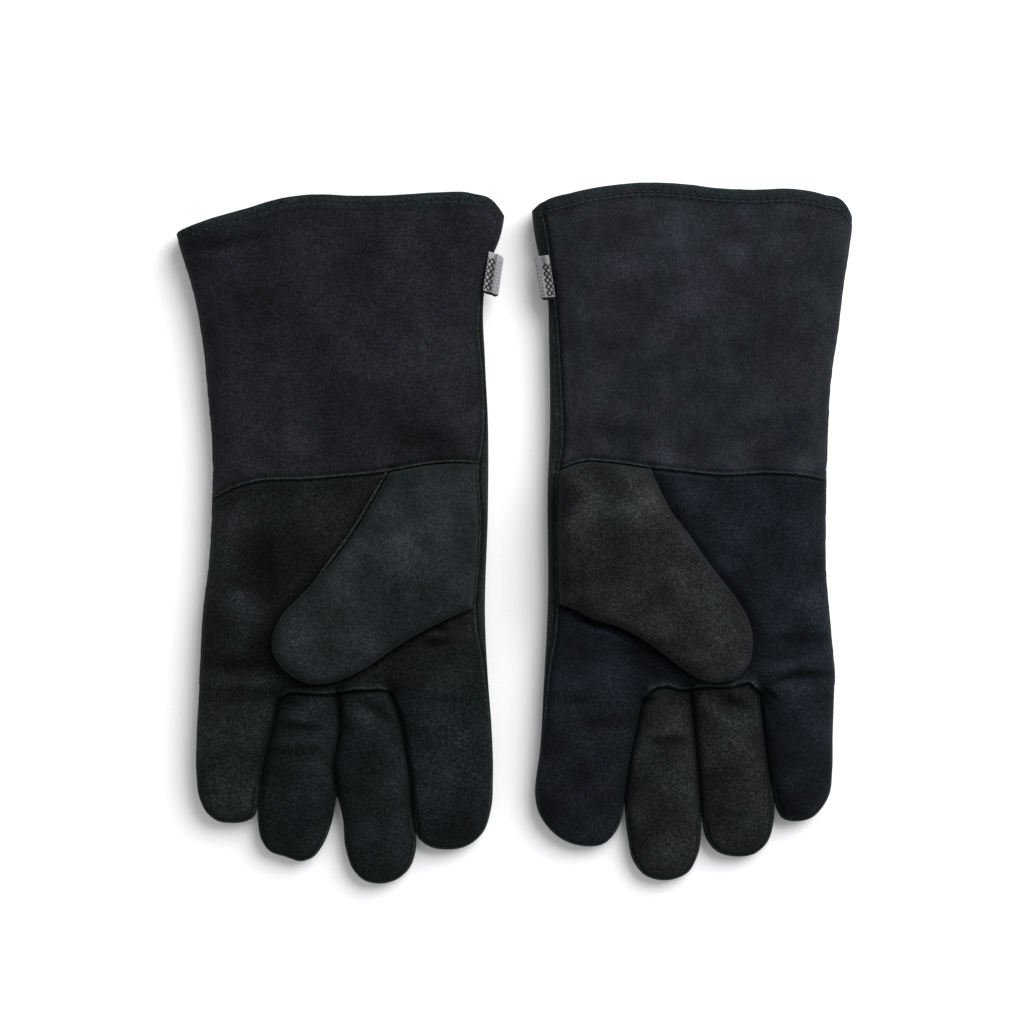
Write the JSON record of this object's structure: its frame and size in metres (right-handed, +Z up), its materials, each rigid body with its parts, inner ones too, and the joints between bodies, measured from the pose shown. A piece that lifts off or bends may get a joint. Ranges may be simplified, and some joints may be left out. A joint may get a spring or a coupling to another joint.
{
  "type": "heat resistant glove",
  "caption": "Suede leather gauntlet gloves with long cuffs, lying palm up with the thumbs folded over the palms, for handling hot cookware, coals and grates.",
  "frame": {"origin": "middle of the pair, on the surface under the backs of the hands", "axes": "+Z up, out of the palms; +Y from the fingertips towards the cuffs; +X from the left glove towards the right glove"},
  "size_m": [0.3524, 0.3608, 0.038],
  "materials": {
    "label": "woven",
    "left_cuff_suede": "matte suede",
    "left_finger_suede": "matte suede",
    "left_suede": "matte suede",
    "left_thumb_suede": "matte suede",
    "left_welt": "matte suede",
    "lining": "brushed cotton",
    "right_cuff_suede": "matte suede",
    "right_finger_suede": "matte suede",
    "right_suede": "matte suede",
    "right_thumb_suede": "matte suede",
    "right_welt": "matte suede"
  },
  "bodies": {
    "left_hand": {"left_palm": "left_suede", "left_hand_back": "left_suede", "left_hand_lining": "lining", "left_thumb_base": "left_thumb_suede", "left_hand_inner_welt": "left_welt", "left_hand_outer_welt": "left_welt", "left_wrist_piping": "left_welt", "left_knuckle_piping": "left_welt"},
    "left_cuff": {"left_cuff_front": "left_cuff_suede", "left_cuff_back": "left_cuff_suede", "left_cuff_lining": "lining", "left_cuff_binding": "left_cuff_suede", "left_cuff_inner_welt": "left_welt", "left_cuff_outer_welt": "left_welt", "left_label": "label"},
    "left_index": {"left_index_front": "left_suede", "left_index_back": "left_suede", "left_index_lining": "lining"},
    "left_middle": {"left_middle_front": "left_finger_suede", "left_middle_back": "left_suede", "left_middle_lining": "lining"},
    "left_ring": {"left_ring_front": "left_finger_suede", "left_ring_back": "left_suede", "left_ring_lining": "lining"},
    "left_little": {"left_little_front": "left_suede", "left_little_back": "left_suede", "left_little_lining": "lining"},
    "left_thumb": {"left_thumb_front": "left_thumb_suede", "left_thumb_back": "left_thumb_suede", "left_thumb_lining": "lining"},
    "right_hand": {"right_palm": "right_suede", "right_hand_back": "right_suede", "right_hand_lining": "lining", "right_thumb_base": "right_thumb_suede", "right_hand_inner_welt": "right_welt", "right_hand_outer_welt": "right_welt", "right_wrist_piping": "right_welt", "right_knuckle_piping": "right_welt"},
    "right_cuff": {"right_cuff_front": "right_cuff_suede", "right_cuff_back": "right_cuff_suede", "right_cuff_lining": "lining", "right_cuff_binding": "right_cuff_suede", "right_cuff_inner_welt": "right_welt", "right_cuff_outer_welt": "right_welt", "right_label": "label"},
    "right_index": {"right_index_front": "right_suede", "right_index_back": "right_suede", "right_index_lining": "lining"},
    "right_middle": {"right_middle_front": "right_finger_suede", "right_middle_back": "right_suede", "right_middle_lining": "lining"},
    "right_ring": {"right_ring_front": "right_finger_suede", "right_ring_back": "right_suede", "right_ring_lining": "lining"},
    "right_little": {"right_little_front": "right_suede", "right_little_back": "right_suede", "right_little_lining": "lining"},
    "right_thumb": {"right_thumb_front": "right_thumb_suede", "right_thumb_back": "right_thumb_suede", "right_thumb_lining": "lining"}
  },
  "joints": [
    {"name": "left_wrist_fold", "type": "hinge", "parent": "left_hand", "child": "left_cuff", "pos_m": [-0.08445, 0.0492, 0.01], "axis": [1, 0, 0], "range_deg": [-25, 40]},
    {"name": "left_index_curl", "type": "hinge", "parent": "left_hand", "child": "left_index", "pos_m": [-0.03605, -0.09, 0.01], "axis": [-1, 0, 0], "range_deg": [-12, 70]},
    {"name": "left_middle_curl", "type": "hinge", "parent": "left_hand", "child": "left_middle", "pos_m": [-0.0755, -0.09, 0.01], "axis": [-1, 0, 0], "range_deg": [-12, 70]},
    {"name": "left_ring_curl", "type": "hinge", "parent": "left_hand", "child": "left_ring", "pos_m": [-0.10565, -0.09, 0.01], "axis": [-1, 0, 0], "range_deg": [-12, 70]},
    {"name": "left_little_curl", "type": "hinge", "parent": "left_hand", "child": "left_little", "pos_m": [-0.142, -0.09, 0.01], "axis": [-1, 0, 0], "range_deg": [-12, 70]},
    {"name": "left_thumb_lift", "type": "hinge", "parent": "left_hand", "child": "left_thumb", "pos_m": [-0.0561, -0.0162, 0.027], "axis": [-0.6428, 0.766, 0], "range_deg": [0, 70]},
    {"name": "right_wrist_fold", "type": "hinge", "parent": "right_hand", "child": "right_cuff", "pos_m": [0.0902, 0.0492, 0.01], "axis": [1, 0, 0], "range_deg": [-25, 40]},
    {"name": "right_index_curl", "type": "hinge", "parent": "right_hand", "child": "right_index", "pos_m": [0.04035, -0.09, 0.01], "axis": [-1, 0, 0], "range_deg": [-12, 70]},
    {"name": "right_middle_curl", "type": "hinge", "parent": "right_hand", "child": "right_middle", "pos_m": [0.07915, -0.09, 0.01], "axis": [-1, 0, 0], "range_deg": [-12, 70]},
    {"name": "right_ring_curl", "type": "hinge", "parent": "right_hand", "child": "right_ring", "pos_m": [0.1095, -0.09, 0.01], "axis": [-1, 0, 0], "range_deg": [-12, 70]},
    {"name": "right_little_curl", "type": "hinge", "parent": "right_hand", "child": "right_little", "pos_m": [0.1462, -0.09, 0.01], "axis": [-1, 0, 0], "range_deg": [-12, 70]},
    {"name": "right_thumb_lift", "type": "hinge", "parent": "right_hand", "child": "right_thumb", "pos_m": [0.0561, -0.0162, 0.027], "axis": [-0.6428, -0.766, 0], "range_deg": [0, 70]},
    {"name": "right_glove_lift", "type": "slide", "parent": "left_hand", "child": "right_hand", "axis": [0, 0, 1], "range_m": [0, 0.25]}
  ]
}
